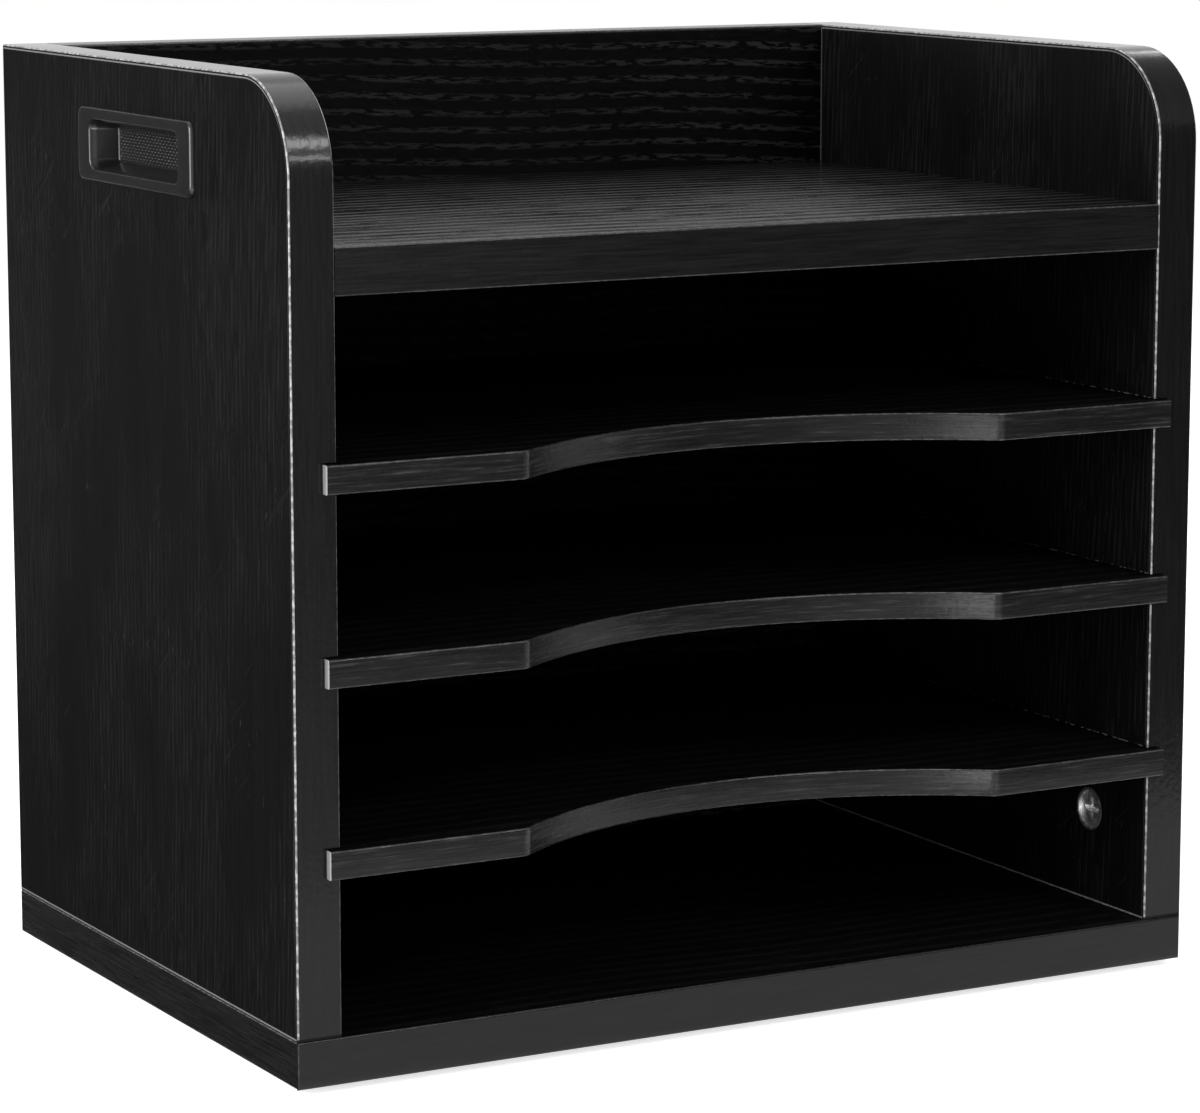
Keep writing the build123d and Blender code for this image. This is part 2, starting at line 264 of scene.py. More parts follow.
# Melamine boards
boardLook = {
    "smooth": 0.0023,
    "pore": 0.0095,
    "streaks": (0.85, 1.2),
    "scuff": 0.02,
    "smudgeRough": 0.2,
}
sideGrain = {"Rings": 340.0, "Wander": 5.0, "Dash": 60.0, "Cover": 0.3, "Gap": 0.52, "Fade": 0.85}
backGrain = {"Rings": 165.0, "Wander": 2.6, "Dash": 150.0, "Cover": 0.05, "Gap": 0.5, "Fade": 0.5}
flatGrain = {"Rings": 112.0, "Wander": 3.0, "Dash": 45.0, "Cover": 0.14, "Gap": 0.42, "Fade": 0.25}


def boardMaterial(
    name, turn, settings, contrast, roughness, poreRough, specular, emboss, marks=None
):
    material, tree, shader, place = newMaterial(name)
    turned = rotate(tree, place, turn)
    grain = useGroup(tree, grainGroup, Vector=turned, **settings)
    scuffs = useGroup(tree, scuffGroup, Vector=turned)
    smooth, pore = boardLook["smooth"], boardLook["pore"]
    dark, light = boardLook["streaks"]
    tone = ease(tree, grain["Streak"], *noiseSpan, dark * smooth, light * smooth)
    tone = calc(tree, "MULTIPLY_ADD", grain["Pore"], contrast * (pore - smooth), tone)
    tone = calc(tree, "MULTIPLY_ADD", scuffs["Scuff"], boardLook["scuff"], tone)
    rough = calc(tree, "MULTIPLY_ADD", grain["Pore"], poreRough, roughness)
    rough = calc(tree, "MULTIPLY_ADD", scuffs["Smudge"], boardLook["smudgeRough"], rough)
    if marks:
        tone = marks(tree, place, tone)
    wire(tree, shader, Base_Color=tone, Roughness=rough, Specular_IOR_Level=specular)
    wire(tree, shader, Normal=bump(tree, grain["Height"], emboss))
    return material


# Marks on the boards: a pale line inside the side bands, a painted highlight of the joint step
# that is brightest along the top where light falls from above; a pale line at the panels' feet, a
# painted highlight of their bottom edge; chips along the sawn grooves; pale sawn ends on the
# shelves; and a pale line at the back panel's ends in the tray, a painted highlight of their arris
panelMarks = {
    "bandWidth": 1.0 * mm,
    "cornerRadius": 30.0 * mm,
    "lineWidth": 0.55 * mm,
    "lineCore": 0.6,
    "lineTone": 0.14,
    "lineFade": (0.4, 0.9),
    "lineFront": 0.12,  # share of the painted highlight that is left down the front, away from the light from above
    "innerReach": 0.5 * mm,  # how deep below the inner face the chips go
    "grooveTop": 9.4 * mm,
    "shelfPitch": 59.0 * mm,
    "chipWidth": 0.55 * mm,
    "chipCore": 0.3,
    "chipTone": 0.1,
    "chipGrain": (100.0, 420.0, 500.0),
    "chipEdge": (0.5, 0.58),
    "footGap": 0.4 * mm,
    "footLine": 0.6 * mm,
    "footEdge": (0.6, 0.35),
    "footTone": 0.13,
    "endLine": 0.6 * mm,
    "endCore": 0.7,
    "endTone": 0.16,
    "sawnDepth": (0.1 * mm, 0.02 * mm),
    "sawnTone": 0.2,
}


def sidePanelMarks(tree, place, tone):
    look = panelMarks
    bandLow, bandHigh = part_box("left_side_edge_band")
    x, y, z = split(tree, place)
    # Pale line inside the band: painted highlight of the joint step, brightest along the top where
    # light falls from above
    ahead = calc(tree, "SUBTRACT", bandLow.y + look["cornerRadius"], y)
    ahead = calc(tree, "MAXIMUM", ahead, 0.0)
    over = calc(tree, "SUBTRACT", z, bandHigh.z - look["cornerRadius"])
    over = calc(tree, "MAXIMUM", over, 0.0)
    squares = calc(tree, "MULTIPLY_ADD", ahead, ahead, calc(tree, "MULTIPLY", over, over))
    reach = calc(tree, "SQRT", squares)
    edge = look["cornerRadius"] - look["bandWidth"]
    width = look["lineWidth"]
    line = ease(tree, reach, edge - width, edge - look["lineCore"] * width)
    fadeStart, fadeEnd = (share * edge for share in look["lineFade"])
    shown = ease(tree, over, fadeStart, fadeEnd, look["lineFront"], 1.0)
    line = calc(tree, "MULTIPLY", line, shown)
    tone = calc(tree, "MULTIPLY_ADD", line, look["lineTone"], tone)
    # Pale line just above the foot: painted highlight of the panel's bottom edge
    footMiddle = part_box("left_side_panel")[0].z + look["footGap"] + look["footLine"] / 2
    fromFoot = calc(tree, "ABSOLUTE", calc(tree, "SUBTRACT", z, footMiddle))
    outer, core = (share * look["footLine"] for share in look["footEdge"])
    foot = ease(tree, fromFoot, outer, core, 0.0, look["footTone"])
    tone = calc(tree, "ADD", tone, foot)
    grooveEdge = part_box("lower_shelf")[0].z + look["grooveTop"]
    above = calc(tree, "FLOORED_MODULO", calc(tree, "SUBTRACT", z, grooveEdge), look["shelfPitch"])
    across = calc(tree, "ABSOLUTE", x)
    inner = calc(tree, "LESS_THAN", across, -bandHigh.x + look["innerReach"])
    dashes = noise(tree, stretch(tree, place, look["chipGrain"]), roughness=0.6)
    dashes = calc(tree, "MULTIPLY", inner, ease(tree, dashes, *look["chipEdge"]))
    chip = ease(tree, above, look["chipWidth"], look["chipCore"] * look["chipWidth"])
    chip = calc(tree, "MULTIPLY", chip, dashes)
    return calc(tree, "MULTIPLY_ADD", chip, look["chipTone"], tone)


def insetFromEnds(tree, place, node):
    across = calc(tree, "ABSOLUTE", split(tree, place)[0])
    return calc(tree, "SUBTRACT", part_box(node)[1].x, across)


def backPanelMarks(tree, place, tone):
    # Pale line at the panel's ends, only in the open tray: painted highlight of the end arris
    # where light reaches it
    inset = insetFromEnds(tree, place, "back_panel")
    lineEnd = panelMarks["endLine"]
    line = ease(tree, inset, lineEnd, panelMarks["endCore"] * lineEnd, 0.0, panelMarks["endTone"])
    trayLow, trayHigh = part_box("top_board")
    inTray = ease(tree, split(tree, place)[2], trayLow.z, trayHigh.z)
    return calc(tree, "MULTIPLY_ADD", line, inTray, tone)


def shelfMarks(tree, place, tone):
    inset = insetFromEnds(tree, place, "lower_shelf")
    sawn = ease(tree, inset, *panelMarks["sawnDepth"], 0.0, panelMarks["sawnTone"])
    return calc(tree, "ADD", tone, sawn)


sideBoard = boardMaterial(
    "blackMelamineUpright", uprightTurn, sideGrain, contrast=0.55, roughness=0.3,
    poreRough=0.5, specular=0.095, emboss=0.06 * mm, marks=sidePanelMarks,
)
backBoard = boardMaterial(
    "blackMelamineBack", backTurn, backGrain, contrast=2.8, roughness=0.25,
    poreRough=0.5, specular=0.06, emboss=0.12 * mm, marks=backPanelMarks,
)
flatBoard = boardMaterial(
    "blackMelamineFlat", flatTurn, flatGrain, contrast=0.6, roughness=0.08,
    poreRough=0.38, specular=0.22, emboss=0.08 * mm,
)
# Base and shelves: the top board's melamine with fainter pale pores and less sheen, darker copies
# that stand in for the shade inside the compartments
baseBoard = boardMaterial(
    "blackMelamineBase", flatTurn, flatGrain, contrast=0.25, roughness=0.3,
    poreRough=0.4, specular=0.045, emboss=0.06 * mm,
)
shelfBoard = boardMaterial(
    "blackMelamineShelf", flatTurn, flatGrain, contrast=0.25, roughness=0.3,
    poreRough=0.4, specular=0.045, emboss=0.06 * mm, marks=shelfMarks,
)

# Edge bands: satin PVC with a paler arris, partly scraped wear and partly painted highlight, most
# on left-facing arrises. Shelf bands also have painted highlights on their left-facing ends and at
# each bend of the cut-out, and pale streaks; side bands have painted shade at the foot, where they
# meet the base
bandLook = {
    "tone": 0.004,
    "specular": 0.35,
    "ripple": 0.06 * mm,
    "streak": (50.0, 50.0, 1300.0),
    "streakEdge": (0.3, 0.72),
    "darkest": 0.3,
    "rubbedLeast": 0.4,
    "leftLitEdge": (0.3, -0.4),  # left-facing arrises are paler: painted highlight from the lamp at the left
    "leftLitLeast": 0.25,
    "litEndFacing": (-0.8, -0.95),
    "litEndTone": 0.3,
    "bentAt": 87.2 * mm,
    "bentWidth": 1.9 * mm,
    "bendGlintTone": 0.022,
    "bentLeast": 0.5,
    "paleEdge": (0.54, 0.74),
    "paleStreak": 0.03,
    "speckle": 0.25,
    "seam": 1.3 * mm,
    "seamCore": 0.6,
    "smudgeRough": 0.16,
    "smudgeLift": 0.6,
    "streakRough": 0.1,
}


def bandMaterial(
    name, axis, turn, streaks, rubAndHighlight, roughness, full=0.8, shelf=False, side=False
):
    material, tree, shader, place = newMaterial(name)
    look = bandLook
    normal = putNode(tree, "ShaderNodeTexCoord").outputs["Normal"]
    turned = rotate(tree, place, turn)
    scuffs = useGroup(tree, scuffGroup, Vector=turned)
    arris = useGroup(tree, arrisGroup, Normal=normal, Axis=axis, Vector=place, Full=full)
    streak = noise(tree, stretch(tree, turned, look["streak"]), detail=4.0, roughness=0.7)
    dark, light = look["tone"] * max(1 - streaks, look["darkest"]), look["tone"] * (1 + streaks)
    tone = ease(tree, streak, *look["streakEdge"], dark, light)
    # Pale arris: partly scraped wear, partly painted highlight, strongest on left-facing arrises
    # as painted light from the lamp at the left
    rub = ease(tree, arris["Chatter"], 0.0, 1.0, look["rubbedLeast"], 1.0)
    rub = calc(tree, "MULTIPLY", arris["Mask"], rub)
    facing = split(tree, normal)[0]
    leftLit = ease(tree, facing, *look["leftLitEdge"], look["leftLitLeast"], 1.0)
    tone = calc(tree, "MULTIPLY_ADD", rub, calc(tree, "MULTIPLY", leftLit, rubAndHighlight), tone)
    if shelf:
        # Left-facing ends paler: painted highlight from the lamp at the left
        litEnd = ease(tree, facing, *look["litEndFacing"], 0.0, look["litEndTone"])
        pale = ease(tree, streak, *look["paleEdge"], 0.0, look["paleStreak"])
        tone = calc(tree, "ADD", calc(tree, "ADD", tone, litEnd), pale)
        # Pale line at each bend of the cut-out, broken by chatter: painted highlight of the
        # rounded bend
        across = calc(tree, "ABSOLUTE", split(tree, place)[0])
        fromBend = calc(tree, "ABSOLUTE", calc(tree, "SUBTRACT", across, look["bentAt"]))
        bendGlint = ease(tree, fromBend, look["bentWidth"], 0.0, 0.0, look["bendGlintTone"])
        broken = ease(tree, arris["Chatter"], 0.0, 1.0, look["bentLeast"], 1.0)
        tone = calc(tree, "MULTIPLY_ADD", bendGlint, broken, tone)
    smudgeRough = look["smudgeRough"]
    rough = calc(tree, "MULTIPLY_ADD", scuffs["Smudge"], smudgeRough, roughness - smudgeRough / 2)
    rough = calc(tree, "MULTIPLY_ADD", streak, look["streakRough"] * streaks, rough)
    if side:
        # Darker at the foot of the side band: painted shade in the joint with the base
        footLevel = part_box("left_side_edge_band")[0].z
        fromFoot = calc(tree, "SUBTRACT", split(tree, place)[2], footLevel)
        seam = ease(tree, fromFoot, look["seam"], look["seamCore"] * look["seam"])
        tone = calc(tree, "MULTIPLY", tone, calc(tree, "SUBTRACT", 1.0, seam))
        rough = calc(tree, "ADD", rough, seam)
    height = calc(tree, "MULTIPLY", scuffs["Smudge"], look["smudgeLift"])
    height = calc(tree, "MULTIPLY_ADD", streak, streaks, height)
    height = calc(tree, "MULTIPLY_ADD", arris["Chatter"], look["speckle"], height)
    wire(tree, shader, Base_Color=tone, Roughness=rough, Specular_IOR_Level=look["specular"])
    wire(tree, shader, Normal=bump(tree, height, look["ripple"]))
    return material


alongX, alongY, alongZ = (1, 0, 0), (0, 1, 0), (0, 0, 1)
sideBand = bandMaterial(
    "scrapedBandUpright", alongX, uprightTurn, streaks=0.5, rubAndHighlight=0.36, roughness=0.15,
    full=0.92, side=True,
)
endBand = bandMaterial(
    "scrapedBandEnds", alongX, endTurn, streaks=1.4, rubAndHighlight=0.16, roughness=0.2,
)
frontBand = bandMaterial(
    "scrapedBandFront", alongY, flatTurn, streaks=1.0, rubAndHighlight=0.12, roughness=0.2,
)
baseBand = bandMaterial(
    "scrapedBandBase", alongY, flatTurn, streaks=0.6, rubAndHighlight=0.03, roughness=0.2,
)
shelfBand = bandMaterial(
    "scrapedBandShelf", alongZ, flatTurn, streaks=1.6, rubAndHighlight=0.12, roughness=0.2, shelf=True,
)

# Moulded handles: fine satin spark texture
handleLook = {
    "tone": 0.008,
    "gritShare": (0.85, 1.15),
    "gritScale": 2600.0,
    "grit": 0.012 * mm,
    "roughness": 0.25,
    "smudgeRough": 0.14,
    "specular": 0.5,
}


def handleMaterial():
    look = handleLook
    material, tree, shader, place = newMaterial("mouldedHandlePlastic")
    scuffs = useGroup(tree, scuffGroup, Vector=place)
    grit = noise(tree, place, roughness=0.6, scale=look["gritScale"])
    dark, light = look["gritShare"]
    tone = ease(tree, grit, *noiseSpan, dark * look["tone"], light * look["tone"])
    smudgeRough = look["smudgeRough"]
    least = look["roughness"] - smudgeRough / 2
    rough = calc(tree, "MULTIPLY_ADD", scuffs["Smudge"], smudgeRough, least)
    wire(tree, shader, Base_Color=tone, Roughness=rough, Specular_IOR_Level=look["specular"])
    wire(tree, shader, Normal=bump(tree, grit, look["grit"]))
    return material


# Fittings: cast or plated metal with tarnish, beech with flecks, foam with open cells
metalLook = {"tarnishScale": 0.25, "castShare": (0.85, 1.1), "roughSpread": (-0.1, 0.15)}
beechLook = {
    "dark": (0.52, 0.36, 0.21, 1.0),
    "light": (0.68, 0.51, 0.33, 1.0),
    "fleckScale": 500.0,
    "roughness": (0.75, 0.6),
    "relief": 0.04 * mm,
}
foamLook = {
    "cellScale": 1900.0,
    "cellSpan": (0.0, 0.7),
    "tone": (0.008, 0.02),
    "roughness": (0.95, 0.8),
    "relief": 0.1 * mm,
    "specular": 0.2,
}


def metalMaterial(name, dark, light, roughness, grainScale, relief):
    material, tree, shader, place = newMaterial(name)
    cast = noise(tree, place, detail=4.0, roughness=0.65, scale=grainScale)
    tarnish = noise(tree, place, scale=metalLook["tarnishScale"] * grainScale)
    tarnish = ease(tree, tarnish, *noiseSpan, dark, light)
    tone = calc(tree, "MULTIPLY", tarnish, ease(tree, cast, *noiseSpan, *metalLook["castShare"]))
    smoothest, roughest = (roughness + spread for spread in metalLook["roughSpread"])
    rough = ease(tree, cast, *noiseSpan, smoothest, roughest)
    wire(tree, shader, Base_Color=tone, Roughness=rough, Metallic=1.0)
    wire(tree, shader, Normal=bump(tree, cast, relief))
    return material


def beechMaterial():
    material, tree, shader, place = newMaterial("beechDowel")
    fleck = noise(tree, place, detail=3.0, roughness=0.6, scale=beechLook["fleckScale"])
    # sockets 6 and 7 are the two colours
    colours = {0: ease(tree, fleck, *noiseSpan), 6: beechLook["dark"], 7: beechLook["light"]}
    mix = putNode(tree, "ShaderNodeMix", colours, data_type="RGBA")
    rough = ease(tree, fleck, *noiseSpan, *beechLook["roughness"])
    wire(tree, shader, Base_Color=mix.outputs[2], Roughness=rough)
    wire(tree, shader, Normal=bump(tree, fleck, beechLook["relief"]))
    return material


def foamMaterial():
    look = foamLook
    material, tree, shader, place = newMaterial("padFoam")
    values = {"Vector": place, "Scale": look["cellScale"]}
    cells = putNode(tree, "ShaderNodeTexVoronoi", values).outputs[0]
    tone = ease(tree, cells, *look["cellSpan"], *look["tone"])
    rough = ease(tree, cells, *look["cellSpan"], *look["roughness"])
    wire(tree, shader, Base_Color=tone, Roughness=rough, Specular_IOR_Level=look["specular"])
    wire(tree, shader, Normal=bump(tree, cells, look["relief"]))
    return material


handlePlastic = handleMaterial()
camZinc = metalMaterial(
    "castCamZinc", dark=0.62, light=0.9, roughness=0.36, grainScale=1500.0, relief=0.1 * mm,
)
boltSteel = metalMaterial(
    "platedBoltSteel", dark=0.5, light=0.62, roughness=0.28, grainScale=700.0, relief=0.01 * mm,
)
beech = beechMaterial()
foam = foamMaterial()

finishes = {
    sideBoard: ["left_side_panel", "right_side_panel"],
    backBoard: ["back_panel"],
    flatBoard: ["top_board"],
    baseBoard: ["base_board"],
    shelfBoard: ["lower_shelf", "middle_shelf", "upper_shelf"],
    sideBand: ["left_side_edge_band", "right_side_edge_band"],
    endBand: ["base_end_edge_bands"],
    frontBand: ["top_board_edge_band"],
    baseBand: ["base_front_edge_band"],
    shelfBand: [
        "back_panel_edge_band",
        "lower_shelf_edge_band",
        "middle_shelf_edge_band",
        "upper_shelf_edge_band",
    ],
    handlePlastic: ["left_handle_cup", "right_handle_cup"],
    camZinc: ["base_cam_locks", "top_cam_locks", "back_cam_locks"],
    boltSteel: ["base_cam_bolts", "top_cam_bolts", "back_cam_bolts"],
    beech: ["base_dowels", "top_dowels", "back_dowels"],
    foam: ["foot_pads"],
}
for finish, names in finishes.items():
    for name in names:
        cadNodes[name].data.materials.clear()
        cadNodes[name].data.materials.append(finish)
print("finishes given to", sum(len(names) for names in finishes.values()), "nodes")

mergeDistance = 1e-7


# Mesh from a grid of points: rows along the first axis, each row a closed loop
def loopMesh(name, points, material, sharpDegrees):
    rows, count = points.shape[:2]
    index = np.arange(rows * count).reshape(rows, count)
    following = np.roll(index, -1, axis=1)
    quads = np.stack([index[:-1], following[:-1], following[1:], index[1:]], axis=-1)
    mesh = bpy.data.meshes.new(name)
    mesh.from_pydata(points.reshape(-1, 3).tolist(), [], quads.reshape(-1, 4).tolist())
    shape = bmesh.new()
    shape.from_mesh(mesh)
    bmesh.ops.remove_doubles(shape, verts=shape.verts, dist=mergeDistance)
    bmesh.ops.dissolve_degenerate(shape, edges=shape.edges, dist=mergeDistance)
    bmesh.ops.recalc_face_normals(shape, faces=shape.faces)
    shape.to_mesh(mesh)
    shape.free()
    mesh.shade_smooth()
    mesh.set_sharp_from_angle(angle=math.radians(sharpDegrees))
    mesh.materials.append(material)
    piece = bpy.data.objects.new(name, mesh)
    scene.collection.objects.link(piece)
    return piece


# Recessed handle: a rounded rectangle carried along a section from the hidden back of the cup,
# over the flange and down into the hollow. A point of the loop is k * (half size - corner)
# + corner * (cos, sin), and the floor rises in staggered domes,
# height * (1 - (distance / radius)^2)
handle = {
    "flange": 1.5 * mm,
    "flangeCorner": 3.5 * mm,
    "flangeRound": 1.35 * mm,
    "mouth": (35.0 * mm, 8.0 * mm),
    "mouthCorner": 3.5 * mm,
    "mouthRound": 0.9 * mm,
    "depth": 9.5 * mm,
    "draft": math.radians(13.0),
    "wall": 1.6 * mm,
    "floorRound": 0.5 * mm,
    "pipPitch": (2.6 * mm, 1.0 * mm),
    "pipRadius": (0.95 * mm, 0.42 * mm),
    "pipHeight": 0.42 * mm,
    "roundSteps": 9,
    "wallSteps": 10,
    "floorSteps": 34,
    "loopSteps": (340, 30, 8),  # long sides, short sides, corners
    "sharpDegrees": 50.0,
}


def roundedLoop(longSteps, shortSteps, cornerSteps):
    cornerX, cornerZ, angle = [], [], []
    corners = [(1, 1), (-1, 1), (-1, -1), (1, -1)]
    for i, (cx, cz) in enumerate(corners):
        nextX, nextZ = corners[(i + 1) % 4]
        turn = i * quarter + np.linspace(0, quarter, cornerSteps)
        steps = longSteps if cz == nextZ else shortSteps
        share = np.linspace(0, 1, steps, endpoint=False)[1:]
        cornerX += [np.full(cornerSteps, float(cx)), cx + (nextX - cx) * share]
        cornerZ += [np.full(cornerSteps, float(cz)), cz + (nextZ - cz) * share]
        angle += [turn, np.full(len(share), turn[-1])]
    return np.concatenate(cornerX), np.concatenate(cornerZ), np.concatenate(angle)


def handleCup(name, node, side):
    low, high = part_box(node)
    middleY, middleZ = (low.y + high.y) / 2, (low.z + high.z) / 2
    face = max(abs(low.x), abs(high.x))
    flange = np.array([(high.y - low.y) / 2, (high.z - low.z) / 2])
    mouth, mouthCorner = np.array(handle["mouth"]), handle["mouthCorner"]
    slope, wall = math.tan(handle["draft"]), handle["wall"]
    floorCorner = mouthCorner - handle["depth"] * slope
    back = mouth + wall - (handle["depth"] - handle["flange"] + wall) * slope
    backDepth = handle["depth"] + wall
    quarterTurn = np.linspace(0, quarter, handle["roundSteps"])
    stations = []

    def add(half, corner, depth):
        stations.append((half[0], half[1], max(corner, 0.0), depth))

    def ridge(half):
        return np.array([half[0] - half[1], 0.0])

    add(ridge(back), 0.0, backDepth)
    add(back, floorCorner + wall, backDepth)
    add(mouth + wall, mouthCorner + wall, handle["flange"])
    add(flange, handle["flangeCorner"], handle["flange"])
    for t in quarterTurn:  # outer round of the flange
        inset = handle["flangeRound"] * (1 - math.cos(t))
        depth = handle["flangeRound"] * (1 - math.sin(t))
        add(flange - inset, handle["flangeCorner"] - inset, depth)
    for t in quarterTurn:  # round into the mouth
        grow = handle["mouthRound"] * (1 - math.sin(t))
        add(mouth + grow, mouthCorner + grow, handle["mouthRound"] * (1 - math.cos(t)))
    wallEnd = handle["depth"] - handle["floorRound"]
    for depth in np.linspace(handle["mouthRound"], wallEnd, handle["wallSteps"])[1:]:
        add(mouth - depth * slope, mouthCorner - depth * slope, depth)
    for t in quarterTurn[1:]:  # round onto the floor
        depth = wallEnd + handle["floorRound"] * math.sin(t)
        inset = wallEnd * slope + handle["floorRound"] * (1 - math.cos(t))
        add(mouth - inset, mouthCorner - inset, depth)
    floorStart = len(stations)
    edgeInset = wallEnd * slope + handle["floorRound"]
    edge = mouth - edgeInset
    for share in np.linspace(0, 1, handle["floorSteps"])[1:]:
        half = edge + (ridge(edge) - edge) * share
        add(half, (mouthCorner - edgeInset) * (1 - share), handle["depth"])
    halfLong, halfShort, corner, depth = (column[:, None] for column in np.array(stations).T)
    kx, kz, angle = roundedLoop(*handle["loopSteps"])
    y = kx * (halfLong - corner) + corner * np.cos(angle)
    z = kz * (halfShort - corner) + corner * np.sin(angle)
    (pitchY, pitchZ), (radiusY, radiusZ) = handle["pipPitch"], handle["pipRadius"]
    row = np.round(z / pitchZ)
    shifted = y - 0.5 * pitchY * (row % 2)
    offY = shifted - np.round(shifted / pitchY) * pitchY
    dome = np.clip(1 - (offY / radiusY) ** 2 - ((z - row * pitchZ) / radiusZ) ** 2, 0, 1)
    insideY = np.clip((edge[0] - np.abs(y)) / radiusY, 0, 1)
    insideZ = np.clip((edge[1] - np.abs(z)) / radiusZ, 0, 1)
    isFloor = np.arange(len(stations))[:, None] >= floorStart
    depth = depth - np.where(isFloor, dome * insideY * insideZ * handle["pipHeight"], 0.0)
    grid = np.broadcast_arrays(side * (face - depth), middleY + y, middleZ + z)
    piece = loopMesh(name, np.stack(grid, axis=-1), handlePlastic, handle["sharpDegrees"])
    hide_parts(node)
    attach(piece, "case")


handleCup("leftHandle", "left_handle_cup", -1)
handleCup("rightHandle", "right_handle_cup", 1)
print("handles made")

# Shelf edge band: a strip with rounded arrises carried along the shelf front, which is a straight,
# a small round, an arc of radius (half width^2 + depth^2) / (2 * depth), a small round and a
# straight. A point is path - normal * inset, at the height of the section
strip = {
    "thickness": 1.0 * mm,
    "arris": 0.7 * mm,
    "cutWidth": 174.0 * mm,
    "cutDepth": 30.0 * mm,
    "bend": 5.0 * mm,
    "straightSteps": 20,
    "bendSteps": 14,
    "arcSteps": 110,
    "arrisSteps": 7,
    "sharpDegrees": 40.0,
}


def shelfStrip(name, node, body):
    low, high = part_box(node)
    halfWidth, bend = strip["cutWidth"] / 2, strip["bend"]
    radius = (halfWidth**2 + strip["cutDepth"] ** 2) / (2 * strip["cutDepth"])
    centreY = low.y + strip["cutDepth"] - radius
    bendY = low.y + bend
    bendX = math.sqrt((radius + bend) ** 2 - (bendY - centreY) ** 2)
    lean = math.atan2(bendX, bendY - centreY)
    turn = np.concatenate([
        np.zeros(strip["straightSteps"]),
        np.linspace(0, lean, strip["bendSteps"] + 1)[1:],
        np.linspace(lean, -lean, strip["arcSteps"] + 1)[1:],
        np.linspace(-lean, 0, strip["bendSteps"] + 1)[1:],
        np.zeros(strip["straightSteps"]),
    ])
    straight = np.linspace(low.x, -bendX, strip["straightSteps"])
    steps = np.arange(len(turn))
    inStart = steps < strip["straightSteps"]
    inArc = np.abs(steps - (len(turn) - 1) / 2) <= strip["arcSteps"] / 2 + 0.5
    inEnd = steps >= len(turn) - strip["straightSteps"]
    normalX, normalY = np.sin(turn), -np.cos(turn)
    side = np.where(steps < len(turn) / 2, -1.0, 1.0)
    pathX = np.where(inArc, -radius * normalX, side * bendX + bend * normalX)
    pathY = np.where(inArc, centreY - radius * normalY, bendY + bend * normalY)
    pathX[inStart], pathX[inEnd] = straight, -straight[::-1]
    pathY[inStart | inEnd] = low.y
    around = np.linspace(0, quarter, strip["arrisSteps"])
    height, thickness, arris = high.z - low.z, strip["thickness"], strip["arris"]
    rise, run = arris * (1 - np.sin(around)), arris * (1 - np.cos(around))
    inset = np.concatenate([[thickness], rise, run, [thickness]])
    level = np.concatenate([[0.0], run, height - rise, [height]])
    x = pathX[:, None] - normalX[:, None] * inset
    y = pathY[:, None] - normalY[:, None] * inset
    points = np.stack(np.broadcast_arrays(x, y, low.z + level), axis=-1)
    ends = points[[0, -1]]
    caps = np.broadcast_to(ends.mean(axis=1, keepdims=True), ends.shape)
    points = np.concatenate([caps[:1], points, caps[1:]])
    piece = loopMesh(name, points, shelfBand, strip["sharpDegrees"])
    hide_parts(node)
    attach(piece, body)


for level in ("lower", "middle", "upper"):
    shelfStrip(level + "ShelfStrip", level + "_shelf_edge_band", level + "_shelf_assembly")
print("shelf strips made")

# Studio: pale floor, white surround, softboxes
studio = {
    "floorSize": 40.0,
    "floorLevel": -0.2 * mm,
    "floorTone": 0.86,
    "floorLift": 0.72,
    "surround": 0.32,
    "aim": (0.0, 0.0, 0.15),
}
white = (1.0, 1.0, 1.0, 1.0)
softboxes = {  # place, size, power
    "keySoftbox": ((-1.7, -0.15, 0.62), (0.9, 1.2), 38.0),
    "stripSoftbox": ((0.6, -1.75, 1.52), (0.8, 0.38), 11.0),
    "lowStrip": ((0.6, -1.75, 0.86), (0.8, 0.08), 4.0),
    "deskLamp": ((-0.29, -0.58, 0.045), (0.1, 0.07), 0.45),
    "fillSoftbox": ((1.7, 0.7, 0.9), (1.2, 1.2), 14.0),
    "topSoftbox": ((0.15, 0.5, 2.0), (1.6, 1.6), 12.0),
}
# Cards beside the picture that only the black faces mirror, painted reflections that light
# nothing: dark sheets, and glowing sheets whose glow is given at either end of glowEnds along X;
# corners in order
cards = {
    "leftFloorCard": ([
        (-1.5, -0.112, 0.001), (-0.1657, -0.112, 0.001), (-0.1657, 0.7, 0.001), (-1.5, 0.7, 0.001),
    ], None),
    "leftBackCard": ([
        (-1.5, 0.7, 0.0), (-0.23, 0.7, 0.0), (-0.23, 0.7, 0.9), (-1.5, 0.7, 0.9),
    ], None),
    "frontCard": ([
        (-0.3, -0.7, 0.0), (2.0, -1.3, 0.0), (2.0, -1.3, 0.65), (-0.3, -0.7, 0.5),
    ], (0.5, 0.09)),
    "frontFloorCard": ([
        (-0.3, -0.36, 0.001), (2.0, -0.3, 0.001), (2.0, -1.3, 0.001), (-0.3, -0.7, 0.001),
    ], (0.5, 0.09)),
    "nearFloorCard": ([
        (-0.3, -0.36, 0.001), (2.0, -0.3, 0.001), (2.0, -0.118, 0.001), (-0.3, -0.118, 0.001),
    ], (0.95, 0.95)),
    "rightUpperCard": ([
        (0.68, -1.3, 0.3), (2.4, -1.3, 0.3), (2.4, -1.3, 1.6), (0.68, -1.3, 1.6),
    ], (0.3, 0.3)),
    "rightCeilingCard": ([
        (0.68, -1.3, 1.6), (2.4, -1.3, 1.6), (2.4, 0.9, 1.6), (0.68, 0.9, 1.6),
    ], (0.3, 0.3)),
}
cardLook = {"tone": 0.03, "glowEnds": (0.0, 0.4)}
mattRoughness = 0.9


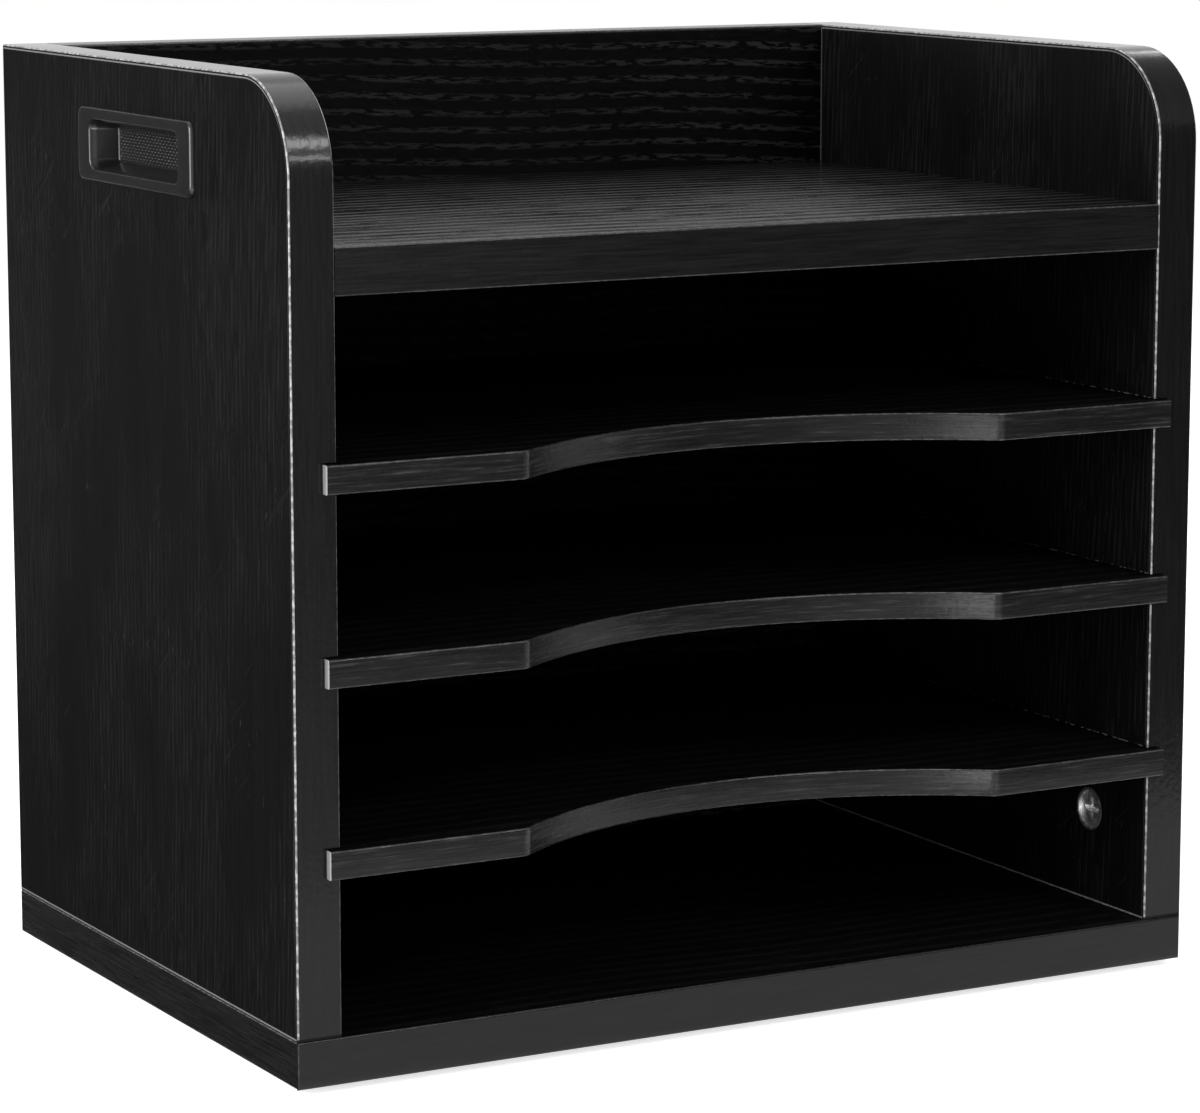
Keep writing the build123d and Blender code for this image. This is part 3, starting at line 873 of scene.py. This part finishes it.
def seenRay(tree):  # 1 for rays that show the background: camera, mirror and glass
    path = putNode(tree, "ShaderNodeLightPath").outputs
    shown = calc(tree, "MAXIMUM", path["Is Camera Ray"], path["Is Glossy Ray"])
    return calc(tree, "MAXIMUM", shown, path["Is Transmission Ray"])


def flatSheet(name, corners, material):
    mesh = bpy.data.meshes.new(name)
    mesh.from_pydata(corners, [], [(0, 1, 2, 3)])
    mesh.materials.append(material)
    sheet = bpy.data.objects.new(name, mesh)
    scene.collection.objects.link(sheet)
    return sheet


def makeFloor():
    half, low, tone = studio["floorSize"] / 2, studio["floorLevel"], studio["floorTone"]
    material, tree, shader, _ = newMaterial("paleFloor")
    lift = calc(tree, "MULTIPLY", seenRay(tree), studio["floorLift"])
    wire(tree, shader, Base_Color=(tone, tone, tone, 1.0), Roughness=mattRoughness)
    wire(tree, shader, Specular_IOR_Level=0.0, Emission_Color=white, Emission_Strength=lift)
    corners = [(-half, -half, low), (half, -half, low), (half, half, low), (-half, half, low)]
    flatSheet("studioFloor", corners, material)


def makeWorld():
    world = bpy.data.worlds.new("whiteSurround")
    scene.world = world
    world.use_nodes = True
    tree = world.node_tree
    tree.nodes.clear()
    surround = studio["surround"]
    strength = calc(tree, "MULTIPLY_ADD", seenRay(tree), 1.0 - surround, surround)
    background = putNode(tree, "ShaderNodeBackground", {"Color": white, "Strength": strength})
    output = putNode(tree, "ShaderNodeOutputWorld")
    tree.links.new(background.outputs[0], output.inputs[0])


def cardMaterial(name, ends):
    material, tree, shader, place = newMaterial(name)
    tone = cardLook["tone"]
    wire(tree, shader, Base_Color=(tone, tone, tone, 1.0), Roughness=mattRoughness)
    if ends:
        glow = ease(tree, split(tree, place)[0], *cardLook["glowEnds"], *ends)
        wire(tree, shader, Emission_Color=white, Emission_Strength=glow)
    return material


def makeCard(name, corners, ends):
    card = flatSheet(name, corners, cardMaterial(name + "Paint", ends))
    card.visible_camera = False
    card.visible_shadow = False
    card.visible_diffuse = False


def makeSoftbox(name, place, size, power):
    light = bpy.data.lights.new(name, "AREA")
    light.shape = "RECTANGLE"
    light.size, light.size_y = size
    light.energy = power
    lamp = bpy.data.objects.new(name, light)
    lamp.visible_camera = False
    lamp.location = place
    towards = Vector(studio["aim"]) - Vector(place)
    lamp.rotation_euler = towards.to_track_quat("-Z", "Y").to_euler()
    scene.collection.objects.link(lamp)


makeFloor()
makeWorld()
for name, (place, size, power) in softboxes.items():
    makeSoftbox(name, place, size, power)
for name, (corners, ends) in cards.items():
    makeCard(name, corners, ends)

# Camera at the photograph's angle: turned to the right of +Y and tipped down
view = {
    "place": (-0.7215, -1.3027, 0.3866),
    "turn": 29.033,
    "tip": 9.498,
    "lens": 133.8,
    "sensor": 36.0,
    "clip": (0.01, 100.0),
}
cameraData = bpy.data.cameras.new("photoCamera")
cameraData.sensor_width = view["sensor"]
cameraData.lens = view["lens"]
cameraData.clip_start, cameraData.clip_end = view["clip"]
camera = bpy.data.objects.new("photoCamera", cameraData)
camera.location = view["place"]
camera.rotation_euler = (math.radians(90.0 - view["tip"]), 0.0, math.radians(-view["turn"]))
scene.collection.objects.link(camera)
scene.camera = camera
print("studio and camera set")
